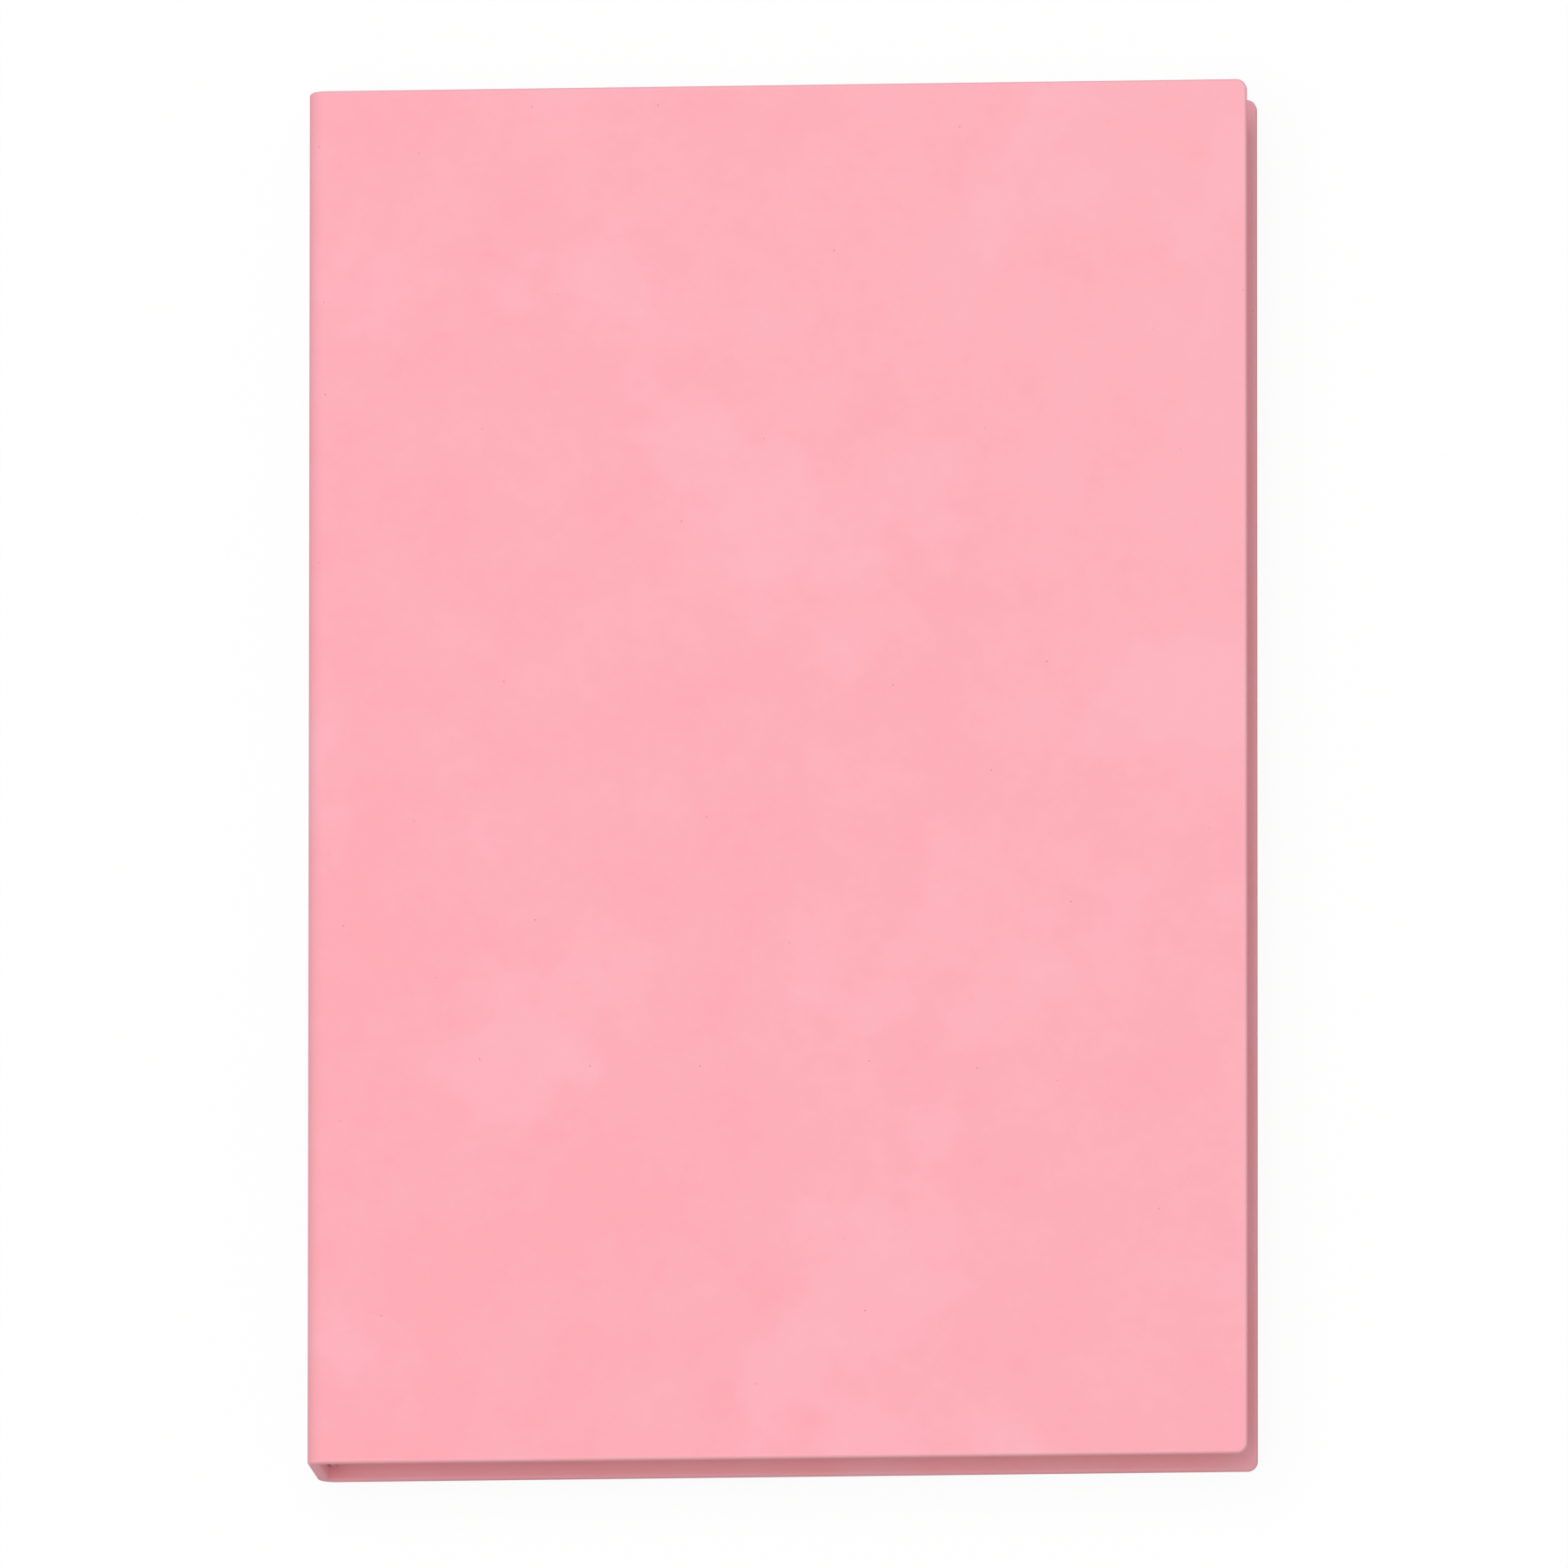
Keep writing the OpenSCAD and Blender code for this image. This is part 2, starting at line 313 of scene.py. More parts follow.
def makeLeafPaper():
    # uncoated cream writing paper, trimmed by guillotine: thin uneven streaks along the cut leaves,
    # which are noise drawn out along each leaf and left off the flat faces
    look = paperLook
    material, tree = startMaterial("creamWritingPaper")
    coordinates = addNode(tree, "ShaderNodeTexCoord", {}).outputs
    place = coordinates["Object"]
    drawnOut = addNode(tree, "ShaderNodeVectorMath", {"operation": "MULTIPLY"},
                       [place, (look["leafStretch"], look["leafStretch"], 1.0)]).outputs[0]
    streaks = addNode(tree, "ShaderNodeTexNoise", {},
                      {"Vector": drawnOut, "Scale": scaleOf(look["leafPitch"]),
                       "Detail": 3.0, "Roughness": 0.7}).outputs["Fac"]
    facing = addNode(tree, "ShaderNodeSeparateXYZ", {}, [coordinates["Normal"]]).outputs["Z"]
    upright = addNode(tree, "ShaderNodeMath", {"operation": "ABSOLUTE"}, [facing]).outputs[0]
    onEdge = addNode(tree, "ShaderNodeMapRange", softRange, [upright, 0.5, 0.9, 1.0, 0.0]).outputs[0]
    gap = addNode(tree, "ShaderNodeMapRange", softRange, [streaks, 0.38, 0.6, 1.0, 0.0]).outputs[0]
    edgeLine = addNode(tree, "ShaderNodeMath", {"operation": "MULTIPLY"}, [gap, onEdge]).outputs[0]
    colour = addNode(tree, "ShaderNodeMix", colourMix,
                     {0: edgeLine, 6: toLinear(look["leaf"]), 7: toLinear(look["leafShade"])}).outputs[2]
    fibre = addNode(tree, "ShaderNodeTexNoise", {},
                    {"Vector": place, "Scale": scaleOf(look["fibreSize"]),
                     "Detail": 4.0, "Roughness": 0.6}).outputs["Fac"]
    rise = addNode(tree, "ShaderNodeMath", {"operation": "MULTIPLY_ADD"},
                   [edgeLine, -1.0, fibre]).outputs[0]
    bump = addNode(tree, "ShaderNodeBump", {},
                   {"Height": rise, "Distance": look["leafHeight"] * mm, "Strength": 0.8})
    finishMaterial(tree, colour, bump, {"Roughness": 0.9, **dullSurface})
    return material


def makeEndpaper():
    # heavier uncoated ivory paper, rolled flat: faint cloudy fibres and no shine
    look = paperLook
    material, tree = startMaterial("ivoryEndpaper")
    place = addNode(tree, "ShaderNodeAttribute", {"attribute_name": "restPlace"}).outputs["Vector"]
    fibre = addNode(tree, "ShaderNodeTexNoise", {},
                    {"Vector": place, "Scale": scaleOf(look["fibreSize"]),
                     "Detail": 5.0, "Roughness": 0.65}).outputs["Fac"]
    clouds = addNode(tree, "ShaderNodeTexNoise", {},
                     {"Vector": place, "Scale": scaleOf(look["cloudSize"])}).outputs["Fac"]
    both = addNode(tree, "ShaderNodeMath", {"operation": "ADD"}, [fibre, clouds]).outputs[0]
    paleness = addNode(tree, "ShaderNodeMapRange", softRange, [both, 0.8, 1.25]).outputs[0]
    colour = addNode(tree, "ShaderNodeMix", colourMix,
                     {0: paleness, 6: toLinear(look["ivoryFibre"]),
                      7: toLinear(look["ivory"])}).outputs[2]
    bump = addNode(tree, "ShaderNodeBump", {},
                   {"Height": fibre, "Distance": look["fibreHeight"] * mm, "Strength": 0.8})
    finishMaterial(tree, colour, bump, {"Roughness": 0.88, **dullSurface})
    return material


cardLook = {
    "grey": "#A79F94",
    "fleck": "#857C70",
    "pale": "#BDB6AB",
    "pulpSize": 1.4,
    "fleckSize": 0.5,
    "pulpHeight": 0.04,
}


def makeCard():
    # grey board pressed from recycled pulp: dull, with darker and paler flecks
    look = cardLook
    material, tree = startMaterial("greyBoard")
    place = addNode(tree, "ShaderNodeTexCoord", {}).outputs["Object"]
    pulp = addNode(tree, "ShaderNodeTexNoise", {},
                   {"Vector": place, "Scale": scaleOf(look["pulpSize"]),
                    "Detail": 5.0, "Roughness": 0.7}).outputs["Fac"]
    flecks = addNode(tree, "ShaderNodeTexNoise", {},
                     {"Vector": place, "Scale": scaleOf(look["fleckSize"])}).outputs["Fac"]
    paleness = addNode(tree, "ShaderNodeMapRange", softRange, [pulp, 0.35, 0.65]).outputs[0]
    colour = addNode(tree, "ShaderNodeMix", colourMix,
                     {0: paleness, 6: toLinear(look["grey"]), 7: toLinear(look["pale"])}).outputs[2]
    inFleck = addNode(tree, "ShaderNodeMapRange", softRange, [flecks, 0.62, 0.72, 0.0, 0.8]).outputs[0]
    colour = addNode(tree, "ShaderNodeMix", colourMix,
                     {0: inFleck, 6: colour, 7: toLinear(look["fleck"])}).outputs[2]
    bump = addNode(tree, "ShaderNodeBump", {},
                   {"Height": pulp, "Distance": look["pulpHeight"] * mm, "Strength": 0.8})
    finishMaterial(tree, colour, bump, {"Roughness": 0.93, **dullSurface})
    return material


clothLook = {
    "thread": "#F1EFE8",
    "hole": "#CFCABD",
    "threadPitch": 0.8,
    "threadHeight": 0.06,
}


def makeLining():
    # starched open-weave cotton, as a binder glues down a spine: crossed threads with holes between
    look = clothLook
    material, tree = startMaterial("starchedCotton")
    place = addNode(tree, "ShaderNodeAttribute", {"attribute_name": "restPlace"}).outputs["Vector"]
    parts = addNode(tree, "ShaderNodeSeparateXYZ", {}, [place]).outputs
    along = addNode(tree, "ShaderNodeMath", {"operation": "ADD"}, [parts["X"], parts["Z"]]).outputs[0]
    turns = 2 * math.pi / (look["threadPitch"] * mm)
    waves = []
    for direction in (along, parts["Y"]):
        angle = addNode(tree, "ShaderNodeMath", {"operation": "MULTIPLY"}, [direction, turns])
        wave = addNode(tree, "ShaderNodeMath", {"operation": "COSINE"}, [angle.outputs[0]])
        waves.append(wave.outputs[0])
    weave = addNode(tree, "ShaderNodeMath", {"operation": "MAXIMUM"}, waves).outputs[0]
    onThread = addNode(tree, "ShaderNodeMapRange", softRange, [weave, -0.4, 0.4]).outputs[0]
    colour = addNode(tree, "ShaderNodeMix", colourMix,
                     {0: onThread, 6: toLinear(look["hole"]), 7: toLinear(look["thread"])}).outputs[2]
    bump = addNode(tree, "ShaderNodeBump", {},
                   {"Height": weave, "Distance": look["threadHeight"] * mm, "Strength": 1.0})
    finishMaterial(tree, colour, bump, {"Roughness": 0.9, "Sheen Weight": 0.1, **dullSurface})
    return material


bandLook = {
    "thread": "#EFA9B2",
    "shadow": "#DB8E9A",
    "strandSize": 0.16,
    "strandHeight": 0.03,
}


def makeBandThread():
    # mercerised cotton thread wound over a cord: a soft sheen, with fine strands along each turn
    look = bandLook
    material, tree = startMaterial("woundCottonThread")
    place = addNode(tree, "ShaderNodeTexCoord", {}).outputs["Object"]
    strands = addNode(tree, "ShaderNodeTexNoise", {},
                      {"Vector": place, "Scale": scaleOf(look["strandSize"])}).outputs["Fac"]
    paleness = addNode(tree, "ShaderNodeMapRange", softRange, [strands, 0.35, 0.65]).outputs[0]
    colour = addNode(tree, "ShaderNodeMix", colourMix,
                     {0: paleness, 6: toLinear(look["shadow"]), 7: toLinear(look["thread"])}).outputs[2]
    bump = addNode(tree, "ShaderNodeBump", {},
                   {"Height": strands, "Distance": look["strandHeight"] * mm, "Strength": 0.8})
    finishMaterial(tree, colour, bump, {"Roughness": 0.65, "IOR": 1.45, "Specular IOR Level": 0.2,
                                        "Sheen Weight": 0.03})
    return material


leatherSkin = makeLeather()
leafPaper = makeLeafPaper()
endpaper = makeEndpaper()
greyBoard = makeCard()
liningCloth = makeLining()
bandThread = makeBandThread()
print("materials made")


# Leather of the case

case = {
    "edgeRadius": 0.5,          # where the leather turns over a cover's edge
    "edgeSupport": 0.06,        # narrow strip beside that turn, which keeps the shading crisp
    "rimWidth": 2.5,            # wider strip along the edges
    "cornerRadius": 1.6,        # plan radius of the fore-edge corners
    "foldRadius": 3.0,          # outer radius where the leather folds from the spine to a cover
    "foldCrowding": 1.5,        # over 1, stations crowd at the middle of that fold
    "creaseReach": 0.45,        # from that middle each way, a stretch whose two ends are worked out and then not used
    "turnIn": 12.0,             # width of leather turned in behind the cards
    "turnInT": 0.4,             # its pared thickness
    "paredEdge": 0.3,           # soft bevel at the turn-in's free edge
    "jointStart": 0.2,          # past a rounded corner, where the mitred joint starts to open
    "jointFull": 1.0,           # and where it is fully open
    "jointWidth": 0.12,         # of the joint between two turn-ins, pared and pressed nearly shut
    "jointDepth": 0.05,
    "arcSteps": 8,
    "spineStations": 6,
    "coverStations": 30,
    "foreStations": 40,
}


def leatherProfile():
    # inset from the edge and depth from the outer face, along one edge's section: from the middle of
    # the outer face, out round the edge, in behind the card, and back through the card's pocket
    r = case["edgeRadius"]
    free, inner = case["turnIn"], coverT - case["turnInT"]
    turn = np.linspace(0, math.pi / 2, case["arcSteps"] + 1)
    overEdge = np.stack([r - r * np.sin(turn), r - r * np.cos(turn)], axis=1)
    underEdge = np.stack([r - r * np.cos(turn), coverT - r + r * np.sin(turn)], axis=1)
    bevel, rim, beside = case["paredEdge"], case["rimWidth"], r + case["edgeSupport"]
    return np.concatenate([
        [[yHead, 0], [free, 0], [rim, 0], [beside, 0]], overEdge,
        [[0, coverT / 2]], underEdge, [[beside, coverT], [rim, coverT]],
        [[free - bevel, coverT], [free - bevel / 3, coverT - bevel / 4], [free, coverT - bevel]],
        [[free, inner], [leatherT, inner], [leatherT, leatherT], [yHead, leatherT]],
    ])


def leatherSheet():
    # the U-shaped edge path from the spine's middle at the tail, round the cover, to the spine's
    # middle at the head; each place is the path's place set in by the inset and down by the depth,
    # and past a rounded corner's own radius it slides along that corner's mitre line
    inset, depth = leatherProfile().T[:, :, None]
    spineDepth = np.interp(depth, [0, leatherT, cardDepth, coverT],
                           [0, leatherT, spineCardDepth, spineT])
    r, foldR = case["cornerRadius"], case["foldRadius"]
    steps = case["arcSteps"]
    top = totalT - depth

    def spineRun(side):
        # straight up the spine from the middle of the thickness to the fold
        z = np.linspace(middleZ, totalT - foldR, case["spineStations"])[None, :-1]
        return np.broadcast_arrays(xSpine + spineDepth, side * (yHead - inset), z)

    def foldRun(side):
        # a quarter turn round the fold's centre; the radius is the fold's less the depth, which
        # passes from the spine's depth to the cover's on the way
        spread = np.linspace(-1, 1, 4 * steps + 1)[None, :]
        crowded = np.sign(spread) * np.abs(spread) ** case["foldCrowding"]
        angle = 0.75 * math.pi - crowded * math.pi / 4
        onSpine = softStep(angle, math.pi / 2, math.pi)
        reach = foldR - depth - (spineDepth - depth) * onSpine
        x = xSpine + foldR + reach * np.cos(angle)
        z = totalT - foldR + reach * np.sin(angle)
        return np.broadcast_arrays(x, side * (yHead - inset), z)

    def coverRun(side):
        # straight along the head or tail edge from the fold to the corner
        x = np.linspace(xSpine + foldR, xFore - r, case["coverStations"])[None, 1:-1]
        return np.broadcast_arrays(np.minimum(x, xFore - inset), side * (yHead - inset), top)

    def cornerRun(side):
        # a quarter turn round the corner's centre with what the inset leaves of its radius, then in
        # along the mitre line, where the turn-ins part by the joint's width and sink by its depth
        share = np.linspace(-1, 1, 2 * steps + 1)[None, :]
        angle = (1 - share) * math.pi / 4
        reach = np.maximum(r - inset, 0)
        past = np.maximum(inset - r, 0)
        onTurnIn = depth > coverT - case["turnInT"] + closeEnough
        joint = softStep(past, case["jointStart"], case["jointFull"]) * onTurnIn
        aside = joint * share * case["jointWidth"] / 2 / math.sqrt(2)
        x = xFore - r + reach * np.cos(angle) - past + aside
        y = yHead - r + reach * np.sin(angle) - past - aside
        z = top + joint * (1 - share ** 2) * case["jointDepth"]
        return np.broadcast_arrays(x, side * y, z)

    def foreRun():
        # straight along the fore-edge, held between the two mitre lines
        half = yHead - inset
        y = np.linspace(-(yHead - r), yHead - r, case["foreStations"])[None, 1:-1]
        return np.broadcast_arrays(xFore - inset, np.clip(y, -half, half), top)

    runs = [spineRun(-1), foldRun(-1), coverRun(-1), cornerRun(-1), foreRun()]
    headRuns = (cornerRun(1), coverRun(1), foldRun(1), spineRun(1))
    runs += [[part[:, ::-1] for part in run] for run in headRuns]
    return np.stack([np.concatenate([run[axis] for run in runs], axis=1) for axis in range(3)], axis=-1)


def makeLeatherPiece(name, place, replaced):
    # one cover's leather and its half of the spine, closed where the halves meet
    places = place(leatherSheet())
    rows, columns = places.shape[:2]
    faces = gridFaces(rows, columns)
    starts = np.arange(rows) * columns
    faces.append(starts.tolist() + (starts + columns - 1)[::-1].tolist())
    inset, depth = leatherProfile().T
    # the places round the cover's edges, which the leather's painted highlight makes paler
    onRim = (inset < case["edgeRadius"] + closeEnough) & (depth < coverT)
    rim = np.repeat(onRim.astype(float)[:, None], columns, axis=1)
    piece = makePiece(name, places.reshape(-1, 3), faces, leatherSkin, {"rim": rim})
    middle = np.array([xSpine, 0, totalT])
    aside = np.array([1, 0, 1]) * case["creaseReach"]
    start, end = place(middle - aside) * mm, place(middle + aside) * mm
    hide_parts(*replaced)
    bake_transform(piece)


makeLeatherPiece("frontLeather", toFront, ["front_leather", "spine_leather"])
makeLeatherPiece("backLeather", toBack, ["back_leather", "spine_leather"])
print("leather made")


# Endpapers

sheet = {
    "slope": 0.6,               # width over which the paper steps down off the leather
    "slopeStations": 9,
    "acrossStations": 12,
    "alongStations": 9,
    "foldStart": 0.45,          # from the leaves' spine edge to where the paper starts to turn
    "foldWidth": 0.25,
    "foldSteps": 24,
    "leadSteps": 3,             # places on the way from each leaf's face to the turn
    "hair": 0.001,              # keeps the turn's last place off the flyleaf's face
}


def stationsNear(low, high, steps, count):
    # evenly spaced stations with more of them across each step
    width = sheet["slope"]
    close = [np.linspace(s - width, s + width, sheet["slopeStations"]) for s in steps]
    every = np.unique(np.concatenate([np.linspace(low, high, count), *close]))
    return every[(every >= low) & (every <= high)]


def backOfPaste(x, y):
    # depth of the pastedown's glued face: up over the turned-in leather and over the lining's flap
    width = sheet["slope"]
    onTurnIn = np.maximum(softStep(np.abs(y), yHead - case["turnIn"] - width, yHead - case["turnIn"]),
                          softStep(x, xFore - case["turnIn"] - width, xFore - case["turnIn"]))
    onFlap = (softStep(-x, -flapHigh[0] - width, -flapHigh[0])
              * softStep(-np.abs(y), -flapHigh[1] - width, -flapHigh[1]))
    return cardDepth + (coverT - cardDepth) * onTurnIn + (flapHigh[2] - flapLow[2]) * onFlap


def makeEndpaperPiece(name, place, replaced):
    # one folded sheet: its outline across the fold, carried from tail to head
    halfLeaf = flyHigh[1]
    windowY, windowX = yHead - case["turnIn"], xFore - case["turnIn"]
    y = stationsNear(-halfLeaf, halfLeaf, [-windowY, -flapHigh[1], flapHigh[1], windowY],
                     sheet["alongStations"])[None, :]
    foldX = flyLow[0] + sheet["foldStart"]
    x = stationsNear(foldX, flyHigh[0], [flapHigh[0], windowX], sheet["acrossStations"])[:, None]
    back = backOfPaste(x, y)
    pasteDepth = coverT + paperT
    bottom = flyleafDepth + paperT
    share = 0.5 - np.sin(np.arcsin(1 - 2 * np.linspace(0, 1, sheet["foldSteps"])) / 3)
    between = (pasteDepth + (flyleafDepth - pasteDepth) * share)[:, None]
    middle = (pasteDepth + flyleafDepth) / 2

    def bend(first, last, width):
        # the fold's places from a depth on the pastedown to one on the flyleaf, close together in the
        # narrow gap where the paper turns; they stand out by an ellipse's square root of 1 less the
        # square of the way from the middle
        lead = np.linspace(0, 1, sheet["leadSteps"] + 2)[1:-1, None] + 0 * first
        depth = np.concatenate([first + (pasteDepth - first) * lead, between + 0 * first,
                                flyleafDepth + (last - flyleafDepth) * lead])
        away = np.where(depth < middle, (middle - depth) / (middle - first),
                        (depth - middle) / (last - middle))
        return foldX - width * np.sqrt(np.clip(1 - away ** 2, 0, 1)), depth

    outerX, outerDepth = bend(back[:1], bottom, sheet["foldWidth"])
    innerX, innerDepth = bend(back[:1] + paperT, flyleafDepth + sheet["hair"],
                              (flyleafDepth - pasteDepth) / 2)
    wide = 0 * y
    xs = np.concatenate([x[::-1] + wide, outerX, x + wide, x[::-1] + wide, innerX[::-1], x + wide])
    depths = np.concatenate([back[::-1], outerDepth, bottom + 0 * x + wide,
                             flyleafDepth + 0 * x + wide, innerDepth[::-1], back + paperT])
    xx, yy, dd = np.broadcast_arrays(xs, y, depths)
    places = place(np.stack([xx, yy, totalT - dd], axis=-1))
    piece = sweepPiece(name, places[..., 0], places[..., 1], places[..., 2], endpaper)
    start = place(np.array([xSpine, 0, totalT - flyleafDepth])) * mm
    end = place(np.array([xSpine, 0, totalT - pasteDepth])) * mm
    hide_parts(*replaced)
    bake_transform(piece)


makeEndpaperPiece("frontEndpaper", toFront, ["front_pastedown", "front_flyleaf"])
makeEndpaperPiece("backEndpaper", toBack, ["back_pastedown", "back_flyleaf"])
print("endpapers made")


# Lining cloth

lining = {"riseStations": 12, "alongStations": 5}


def makeLiningPiece(name, place, replaced):
    # half of the spine's lining and one flap: an L-shaped outline carried from tail to head
    outerX, innerX = liningLow[0], liningHigh[0]
    rise = np.linspace(blockHigh[2], flapLow[2], lining["riseStations"])
    x = np.concatenate([[outerX], outerX + 0 * rise, [outerX, flapHigh[0], flapHigh[0], innerX],
                        innerX + 0 * rise[:-1], [innerX]])
    z = np.concatenate([[middleZ], rise, [flapHigh[2], flapHigh[2], flapLow[2], flapLow[2]],
                        rise[:-1][::-1], [middleZ]])
    y = np.linspace(liningLow[1], liningHigh[1], lining["alongStations"])
    places = place(np.stack(np.broadcast_arrays(x[:, None], y[None, :], z[:, None]), axis=-1))
    piece = sweepPiece(name, places[..., 0], places[..., 1], places[..., 2], liningCloth)
    start = place(np.array([0, 0, blockHigh[2]])) * mm
    end = place(np.array([0, 0, flapLow[2]])) * mm
    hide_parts(*replaced)
    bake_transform(piece)


makeLiningPiece("frontLining", toFront, ["front_lining_flap", "spine_lining"])
makeLiningPiece("backLining", toBack, ["back_lining_flap", "spine_lining"])
print("lining made")


# Leaves

leaves = {
    "sections": 16,
    "foldRoundness": 0.55,      # radius of a section's fold over the section's thickness
    "foreNick": 0.05,           # dip between two sections at the fore-edge
    "nickSharpness": 6,
    "sectionStations": 9,
    "alongStations": 3,
}


def makeLeaves():
    # outline across the leaves: a round fold for each section at the spine, and at the fore-edge a
    # shallow dip between sections, a high power of the way from a section's middle; carried from
    # tail to head
    count = leaves["sections"]
    height = (blockHigh[2] - blockLow[2]) / count
    radius = leaves["foldRoundness"] * height
    spread = math.asin(height / 2 / radius)
    angle = np.linspace(-spread, spread, leaves["sectionStations"])[None, :]
    centre = blockLow[2] + height * (np.arange(count)[:, None] + 0.5)
    foldX = (blockLow[0] + radius - radius * np.cos(angle) + 0 * centre).ravel()
    foldZ = (centre + radius * np.sin(angle)).ravel()
    share = np.linspace(-1, 1, leaves["sectionStations"])[None, :]
    nick = leaves["foreNick"] * share ** leaves["nickSharpness"]
    foreX = (blockHigh[0] - nick + 0 * centre).ravel()[::-1]
    foreZ = (centre + share * height / 2).ravel()[::-1]
    x = np.concatenate([foldX, foreX])[:, None]
    z = np.concatenate([foldZ, foreZ])[:, None]
    y = np.linspace(blockLow[1], blockHigh[1], leaves["alongStations"])[None, :]
    piece = sweepPiece("sewnLeaves", x, y, z, leafPaper)
    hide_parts("page_block")
    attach(piece, "block")


makeLeaves()
print("leaves made")


# Head and tail bands

band = {
    "beadRadius": 0.5,
    "threadPitch": 0.42,
    "threadSwell": 0.05,        # height of a turn of thread over the grooves beside it
    "stepsPerTurn": 6,
    "around": 24,
    "tapeStations": 3,
}


def makeBand(name, side, node):
    # a round bead whose radius swells once for each turn of a thread wound slantwise round it,
    # and the tape that carries it, as one outline carried along the spine's thickness
    bead, around = band["beadRadius"], band["around"]
    low, high = bandLow[2], bandHigh[2]
    rows = int((high - low) / band["threadPitch"] * band["stepsPerTurn"])
    z = np.linspace(low, high, rows)[None, :]
    turn = np.linspace(0, 2 * math.pi, around, endpoint=False)[:, None]
    centreX, centreY = bandLow[0] + bead, side * (bandHigh[1] - bead)
    wave = np.abs(np.sin(math.pi * z / band["threadPitch"] + turn))
    radius = bead - band["threadSwell"] * (1 - wave)
    piece = sweepPiece(name + "Bead", centreX + radius * np.cos(turn), centreY + radius * np.sin(turn),
                       z, bandThread)
    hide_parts(node)
    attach(piece, "block")
    tapeT, tapeLow, tapeHigh = liningHigh[0] - liningLow[0], bandLow[1], bandHigh[1] - bead
    x = np.array([0, tapeT, tapeT, 0])[:, None] + bandLow[0]
    y = side * np.array([tapeLow, tapeLow, tapeHigh, tapeHigh])[:, None]
    z = np.linspace(low, high, band["tapeStations"])[None, :]
    tape = sweepPiece(name + "Tape", x, y, z, bandThread)
    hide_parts(node)
    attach(tape, "block")


makeBand("headBand", 1, "head_band")
makeBand("tailBand", -1, "tail_band")
print("bands made")


# Cards

for nodeName in ("front_card", "back_card", "spine_card"):
    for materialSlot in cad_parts[nodeName].material_slots:
        materialSlot.material = greyBoard
print("cards finished")


# Floor, light and camera

studio = {
    "floor": "#CFCFCF",         # what the floor throws back on the notebook
    "floorGlow": 0.92,          # share of the floor's whiteness to the eye that shadows don't reach
    "floorHalf": 4000.0,
    "floorZ": -0.1,
    "worldLight": 0.50,
    "keyPower": 24.0,
    "keySize": 1300.0,
    "keyPlace": (-250.0, 90.0, 2100.0),
}


def makeFloor():
    # a plain pale floor just under the notebook, white to the eye, that keeps a soft shadow
    half, z = studio["floorHalf"], studio["floorZ"]
    places = np.array([[-half, -half, z], [half, -half, z], [half, half, z], [-half, half, z]])
    mesh = bpy.data.meshes.new("floor")
    mesh.from_pydata((places * mm).tolist(), [], [[0, 1, 2, 3]])
    material, tree = startMaterial("whitePaintedBoard")
    glow = addNode(tree, "ShaderNodeEmission", {}, {"Color": white, "Strength": 1.0})
    eye = addNode(tree, "ShaderNodeLightPath", {}).outputs["Is Camera Ray"]
    colour = addNode(tree, "ShaderNodeMix", colourMix,
                     {0: eye, 6: toLinear(studio["floor"]), 7: white}).outputs[2]
    diffuse = addNode(tree, "ShaderNodeBsdfDiffuse", {}, {"Color": colour})
    share = addNode(tree, "ShaderNodeMath", {"operation": "MULTIPLY"}, [eye, studio["floorGlow"]])
    both = addNode(tree, "ShaderNodeMixShader", {},
                   [share.outputs[0], diffuse.outputs["BSDF"], glow.outputs["Emission"]])
    addNode(tree, "ShaderNodeOutputMaterial", {}, {"Surface": both.outputs["Shader"]})
    mesh.materials.append(material)
    floor = bpy.data.objects.new("floor", mesh)
    bpy.context.scene.collection.objects.link(floor)


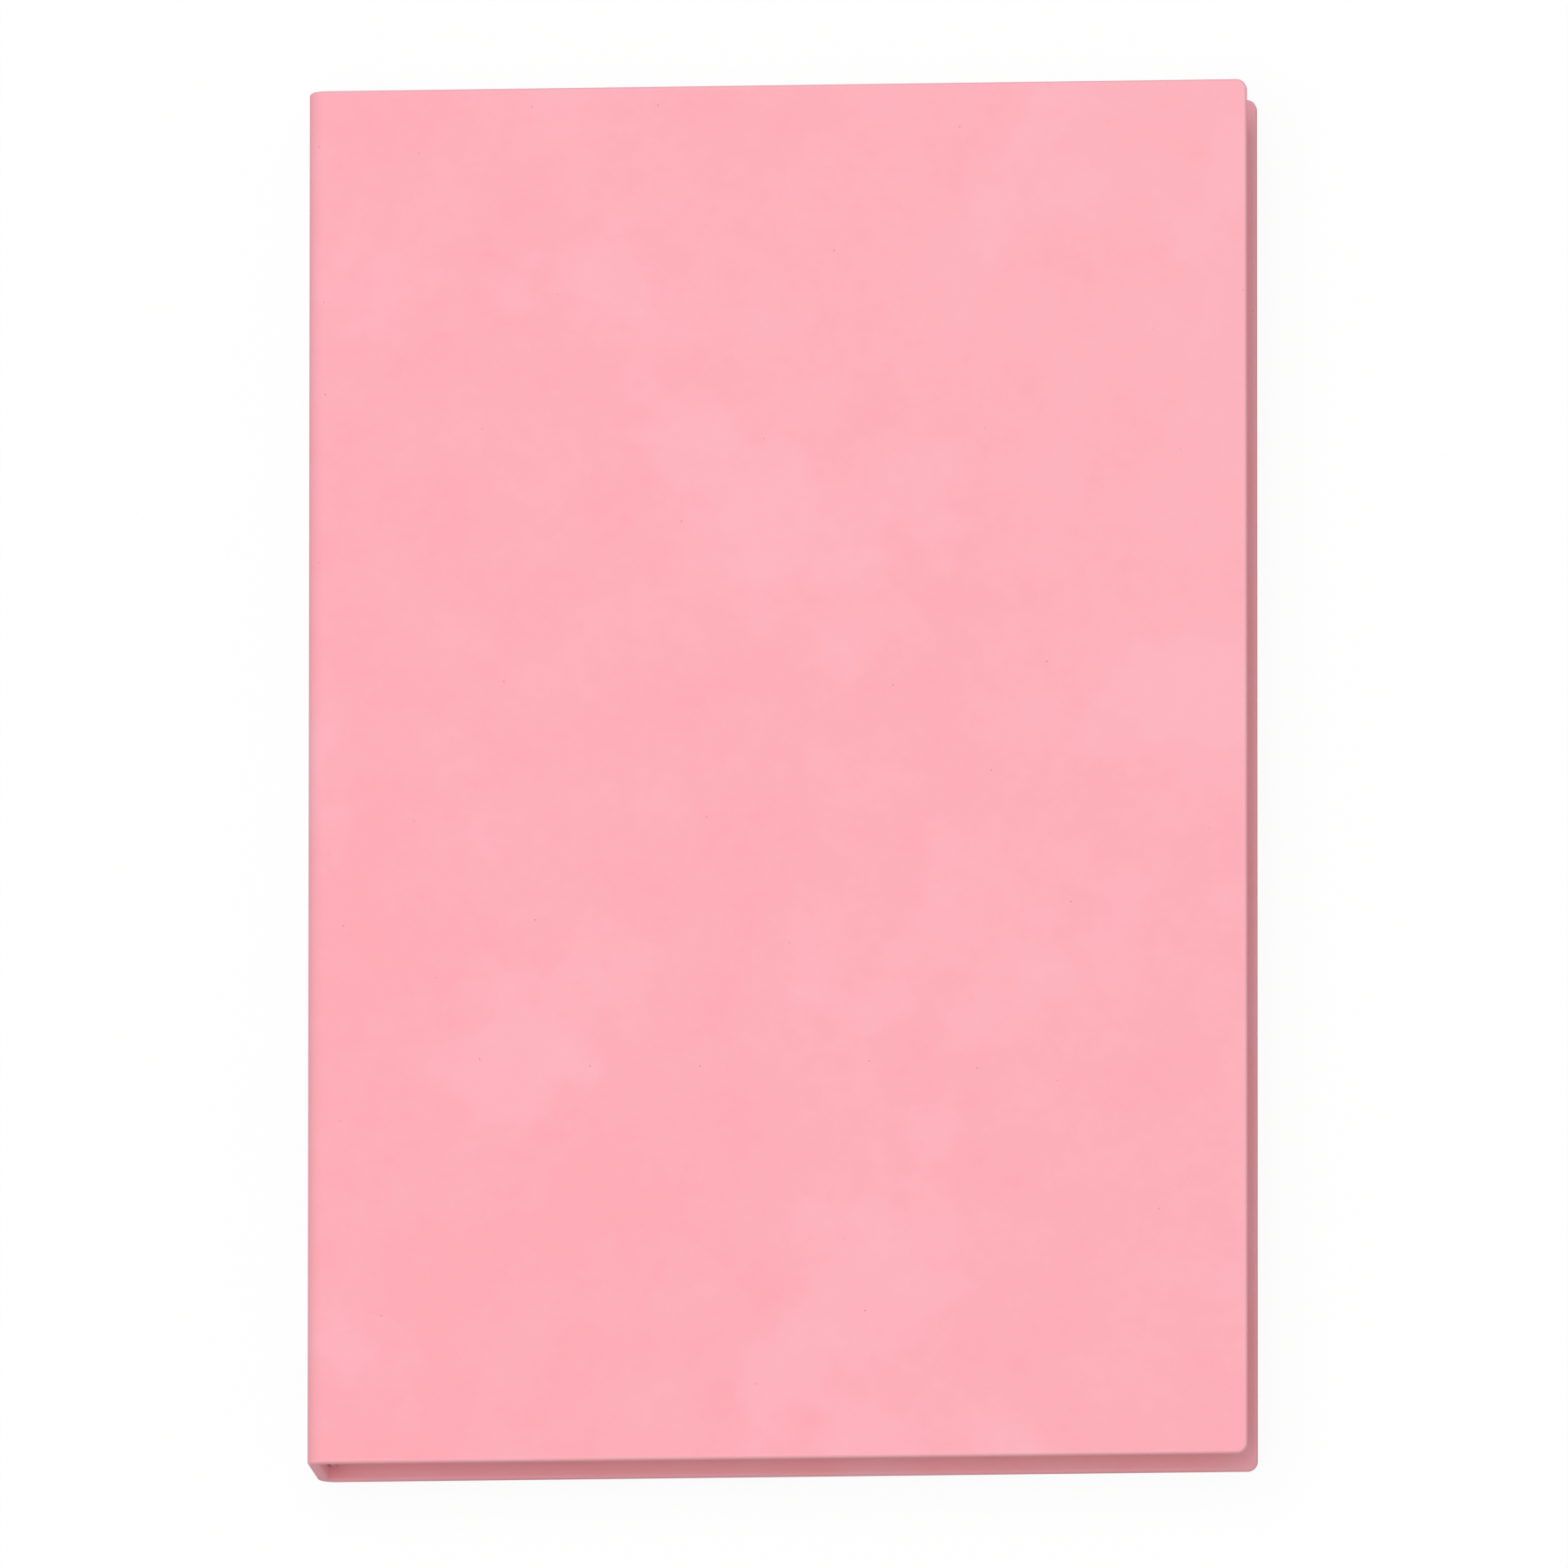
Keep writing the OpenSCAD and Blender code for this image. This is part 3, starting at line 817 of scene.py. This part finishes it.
def makeWorld():
    # even light from all round; the eye sees it white
    world = bpy.data.worlds.new("studio")
    bpy.context.scene.world = world
    world.use_nodes = True
    tree = world.node_tree
    tree.nodes.clear()
    eye = addNode(tree, "ShaderNodeLightPath", {}).outputs["Is Camera Ray"]
    light = addNode(tree, "ShaderNodeBackground", {}, {"Color": white, "Strength": studio["worldLight"]})
    seen = addNode(tree, "ShaderNodeBackground", {}, {"Color": white, "Strength": 1.0})
    both = addNode(tree, "ShaderNodeMixShader", {},
                   [eye, light.outputs["Background"], seen.outputs["Background"]])
    addNode(tree, "ShaderNodeOutputWorld", {}, {"Surface": both.outputs["Shader"]})


def makeKeyLamp():
    # a square soft box that faces the notebook
    lamp = bpy.data.lights.new("keyLamp", "AREA")
    lamp.shape, lamp.size, lamp.energy = "SQUARE", studio["keySize"] * mm, studio["keyPower"]
    holder = bpy.data.objects.new("keyLamp", lamp)
    away = Vector(studio["keyPlace"]) * mm
    holder.matrix_world = Matrix.Translation(away) @ away.to_track_quat("Z", "Y").to_matrix().to_4x4()
    bpy.context.scene.collection.objects.link(holder)


view = {
    "tiltRight": 4.9,           # degrees that the camera stands to the right of straight above
    "tiltDown": 8.7,            # and towards the tail
    "roll": 0.03,               # degrees that it is turned about its own axis
    "target": (0.22, -0.52),
    "distance": 9434.0,
    "nearest": 1000.0,
    "farthest": 40000.0,
    "pixelsPerMm": 7.407,
    "imageSize": 1800,
    "sensor": 36.0,
}


def makeCamera():
    # a long lens from nearly straight above, as the photograph was taken
    tiltRight, tiltDown = math.radians(view["tiltRight"]), math.radians(view["tiltDown"])
    away = Vector((math.tan(tiltRight), -math.tan(tiltDown), 1))
    away.normalize()
    right = Vector((0, 1, 0)).cross(away).normalized()
    up = away.cross(right)
    turn = math.radians(view["roll"])
    rolledRight = math.cos(turn) * right + math.sin(turn) * up
    rolledUp = math.cos(turn) * up - math.sin(turn) * right
    camera = bpy.data.cameras.new("camera")
    camera.sensor_fit, camera.sensor_width = "HORIZONTAL", view["sensor"]
    camera.lens = view["pixelsPerMm"] * view["distance"] / view["imageSize"] * view["sensor"]
    camera.clip_start, camera.clip_end = view["nearest"] * mm, view["farthest"] * mm
    holder = bpy.data.objects.new("camera", camera)
    target = Vector((*view["target"], middleZ)) * mm
    place = Matrix((rolledRight, rolledUp, away)).transposed().to_4x4()
    place.translation = target + away * view["distance"] * mm
    holder.matrix_world = place
    bpy.context.scene.collection.objects.link(holder)
    bpy.context.scene.camera = holder


makeFloor()
makeWorld()
makeKeyLamp()
makeCamera()
bpy.context.scene.view_settings.view_transform = "Standard"
print("floor, light and camera set")
